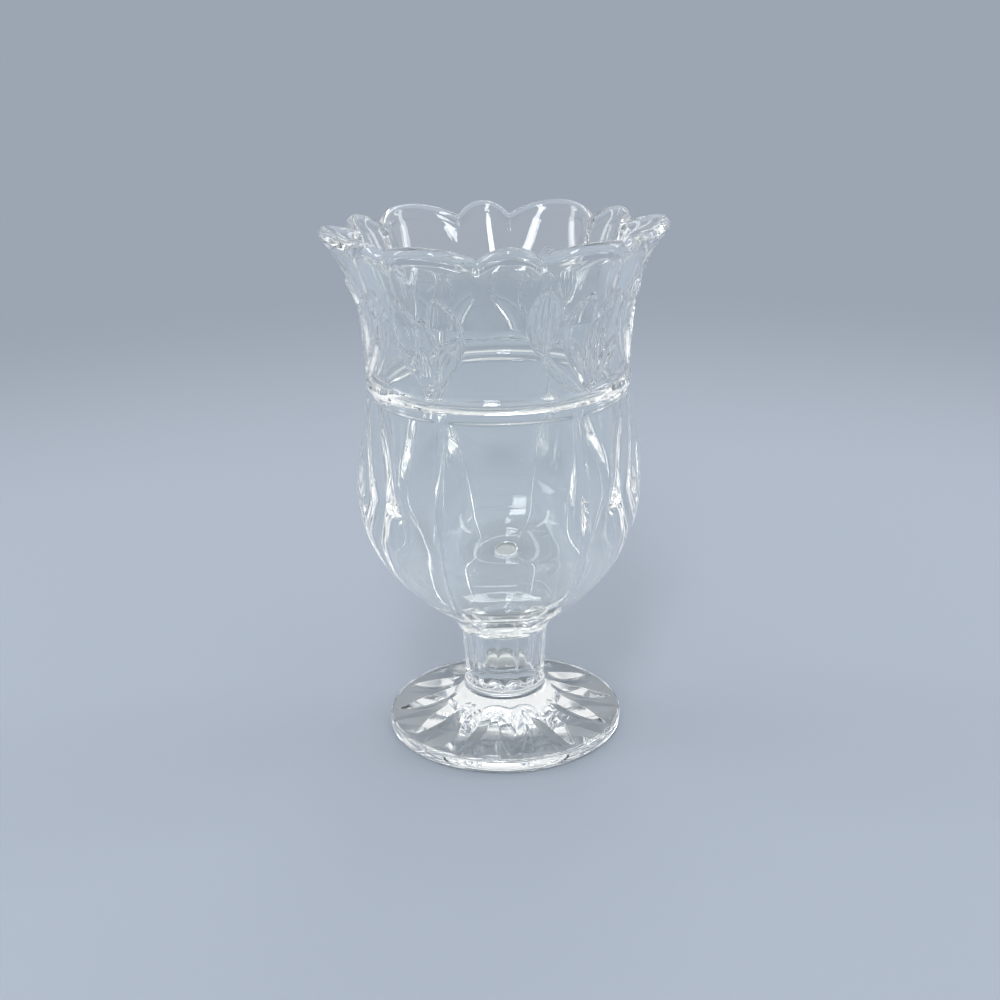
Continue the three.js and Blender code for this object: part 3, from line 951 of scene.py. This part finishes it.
    def columns(self) -> np.ndarray:
        """Spaces the sector's columns, closest together on the bud and on the blooms.

        Returns:
            Angles round the vase.
        """
        start = math.radians(self.sector_start)
        fine = np.linspace(0, TURN / self.copies, self.trial_columns)
        gap = np.full_like(fine, self.plain_gap)
        for turn in self.blooms:
            from_bloom = np.abs(fine + start - math.radians(turn)) * self.mouth
            gap = np.where(from_bloom < self.bloom_reach, self.bloom_gap, gap)
        bud = math.radians(self.blooms[self.bud_spray] + self.bud_turn)
        gap = np.where(np.abs(fine + start - bud) * self.mouth < self.bud_reach, self.bud_gap, gap)
        count = np.concatenate([[0], np.cumsum(1 / gap[1:])])
        steps = round(count[-1] * self.mouth * fine[1])
        return start + np.interp(np.linspace(0, count[-1], steps + 1), count, fine)

    def wall_top(self, angle: np.ndarray) -> np.ndarray:
        """Height at which the wall ends: the lip's round takes the rest, up to the scallop's crest.

        Args:
            angle: angle round the vase.

        Returns:
            Height above the neck's foot.
        """
        crest = self.height + self.scallop_rise * self.scallop(angle)[0]
        lean = self.normal(angle, crest - self.lip)
        return crest - self.lip / 2 * (lean[:, 0] - lean[:, 1])

    def wall(self, top: np.ndarray, share: float) -> tuple[np.ndarray, np.ndarray]:
        """Works out a row of the wall, from which its outside or its inside is made.

        Args:
            top: height of the wall's end.
            share: the row's share of the way there from the ring's top.

        Returns:
            The row's height, and how far the lip has swollen there.
        """
        height = self.ring_height + (top - self.ring_height) * share
        swelling = self.lip_bead * ease((share - 1) * (self.height - self.ring_height), -self.lip, 0)
        return height, swelling

    def skin(self) -> Skin:
        """Works out the skin of one sector: up the ring and the outside, over the lip and down.

        Returns:
            The skin.
        """
        angle = self.columns()
        top = self.wall_top(angle)
        rows = [(self.mouth + self.ring_proud / 2, 0)]
        for turn in np.linspace(self.ring_start, self.ring_end, self.ring_rows):
            height = self.ring_height / 2 * (1 + math.sin(turn))
            rows.append((self.outer(angle, height) + self.ring_proud * math.cos(turn), height))
        for share in np.concatenate([np.linspace(*stretch) for stretch in self.outside_rows]):
            height, swelling = self.wall(top, share)
            rows.append((self.outer(angle, height) + self.relief(angle, height) + swelling, height))

        outward = self.normal(angle, top)
        upward = np.stack([-outward[:, 1], outward[:, 0]], -1)
        middle = np.stack([self.outer(angle, top), top], -1) - outward * self.lip / 2
        size = self.lip / 2 + self.lip_bead
        for turn in np.linspace(0, math.pi, self.lip_steps + 1)[1:-1]:
            round_lip = middle + size * (outward * math.cos(turn) + upward * math.sin(turn))
            rows.append((round_lip[:, 0], round_lip[:, 1]))

        thickest = self.mouth - self.waist_in - self.cavity
        for share in np.concatenate([np.linspace(*stretch) for stretch in self.inside_rows]):
            height, swelling = self.wall(top, share)
            thick = self.lip + (thickest - self.lip) * (1 - share) ** self.wall_taper
            inward = self.normal(angle, height) * (thick + swelling)
            rows.append((self.outer(angle, height) - inward[:, 0], height - inward[:, 1]))
        rows.append((self.cavity, 0))

        points = np.stack([
            np.stack(np.broadcast_arrays(radius, angle, height), -1) for radius, height in rows
        ])
        points[..., 2] += self.base
        return Skin(points, joints=(len(points) - 1,), closed=True)


@dataclass(frozen=True)
class Lamp:
    """One soft lamp that faces the vase. It shows in the glass, but not by itself."""

    name: str
    place: tuple[float, float, float]  # in metres
    size: tuple[float, float]  # width and height, in metres
    power: float  # in watts
    aim: tuple[float, float, float] = (0, 0, 0.11)  # about the middle of the vase, in metres

    def hang(self) -> None:
        """Hangs the lamp."""
        light = bpy.data.lights.new(self.name, "AREA")
        light.shape = "RECTANGLE"
        light.size, light.size_y = self.size
        light.energy = self.power
        lamp = bpy.data.objects.new(self.name, light)
        bpy.context.scene.collection.objects.link(lamp)
        way = Vector(self.aim) - Vector(self.place)
        lamp.rotation_euler = way.to_track_quat("-Z", "Y").to_euler()
        lamp.location = self.place
        lamp.visible_camera = False


@dataclass
class Studio:
    """The plain floor, the bright ceiling, the soft lamps and the camera at the photograph's angle."""

    lamps: tuple[Lamp, ...] = (
        Lamp("key_lamp", place=(-0.25, -1.1, 1.35), size=(0.3, 0.9), power=9),
        Lamp("left_lamp", place=(-1.2, 0.3, 0.6), size=(0.22, 0.9), power=3),
        Lamp("right_lamp", place=(1.2, 0.2, 0.6), size=(0.22, 0.9), power=3),
        Lamp("back_lamp", place=(0.3, 1.1, 1.4), size=(0.6, 0.3), power=2.5),
    )
    floor_size: float = 60000.0
    floor_gap: float = 0.2  # between the resting ring and the floor, so that no faces coincide
    ceiling: str = "#F6F7F8"
    horizon_height: float = 0.08  # sine of the angle up to which the backdrop keeps its colour
    ceiling_height: float = 0.35  # and of the angle from which the ceiling shows
    sensor: float = 36.0  # width of the sensor
    lens: float = 51.108  # focal length
    distance: float = 558.334  # from the vase's axis to the camera, measured level
    eye_height: float = 296.475  # of the camera above the table
    nearest: float = 10.0  # distance from which the camera sees
    pitch: float = 19.327  # degrees down
    roll: float = -1.236  # degrees
    yaw: float = -0.037  # degrees
    pattern_turn: float = 4.8  # degrees by which the vase was turned towards the camera's right
    glass_bounces: int = 32  # light is thrown to and fro in the glass many times before it leaves
    mirror_bounces: int = 16

    def floor(self) -> None:
        """Lays the floor."""
        mesh = bpy.data.meshes.new("floor")
        half = self.floor_size / 2 * MM
        down = -self.floor_gap * MM
        corners = [(-half, -half, down), (half, -half, down), (half, half, down), (-half, half, down)]
        mesh.from_pydata(corners, [], [(0, 1, 2, 3)])
        mesh.materials.append(PaintedFloor().material())
        floor = bpy.data.objects.new("floor", mesh)
        bpy.context.scene.collection.objects.link(floor)

    def surroundings(self) -> None:
        """Sets the world: the backdrop's colour round the vase, and a bright soft ceiling over it."""
        world = bpy.data.worlds.new("studio")
        bpy.context.scene.world = world
        world.use_nodes = True
        tree = world.node_tree
        tree.nodes.clear()
        way = add_node(tree, "ShaderNodeTexCoord")
        up = add_node(tree, "ShaderNodeSeparateXYZ", {0: way.outputs["Generated"]})
        share = add_node(tree, "ShaderNodeMapRange", {
            "Value": up.outputs["Z"],
            "From Min": self.horizon_height,
            "From Max": self.ceiling_height,
        }, interpolation_type="SMOOTHSTEP")
        colour = add_node(tree, "ShaderNodeMix", {
            "Factor": share.outputs["Result"],
            MIX_FIRST: linear(PaintedFloor().colour),
            MIX_SECOND: linear(self.ceiling),
        }, data_type="RGBA")
        glow = add_node(tree, "ShaderNodeBackground", {"Color": colour.outputs[MIX_RESULT], "Strength": 1.0})
        add_node(tree, "ShaderNodeOutputWorld", {"Surface": glow.outputs[0]})

    def camera(self) -> None:
        """Sets the camera where the photograph was taken from."""
        pitch, roll, yaw = (math.radians(a) for a in (self.pitch, self.roll, self.yaw))
        forward = Vector((math.sin(yaw) * math.cos(pitch), math.cos(yaw) * math.cos(pitch), -math.sin(pitch)))
        level = Vector((math.cos(yaw), -math.sin(yaw), 0))
        upright = level.cross(forward)
        right = math.cos(roll) * level + math.sin(roll) * upright
        up = math.cos(roll) * upright - math.sin(roll) * level
        pose = Matrix((right, up, -forward)).transposed().to_4x4()
        pose.translation = Vector((0, -self.distance, self.eye_height)) * MM
        data = bpy.data.cameras.new("camera")
        data.sensor_width = self.sensor
        data.lens = self.lens
        data.clip_start = self.nearest * MM
        camera = bpy.data.objects.new("camera", data)
        bpy.context.scene.collection.objects.link(camera)
        camera.matrix_world = Matrix.Rotation(-math.radians(self.pattern_turn), 4, "Z") @ pose
        bpy.context.scene.camera = camera

    def set_up(self) -> None:
        """Puts the floor, surroundings, lamps and camera in place."""
        self.floor()
        self.surroundings()
        for lamp in self.lamps:
            lamp.hang()
        self.camera()
        scene = bpy.context.scene
        scene.view_settings.view_transform = "Standard"
        scene.cycles.max_bounces = self.glass_bounces
        scene.cycles.transmission_bounces = self.glass_bounces
        scene.cycles.glossy_bounces = self.mirror_bounces


def main() -> None:
    """Builds the vase and its studio."""
    logging.basicConfig(level=logging.INFO)
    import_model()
    finishes = Finishes(PressedGlass().material(), FusedJoint().material())
    ring = RingTree()
    for part in (Foot(), Stem(), Bowl(), Neck()):
        part.build(ring, finishes)
    Studio().set_up()


if __name__ == "__main__":
    main()
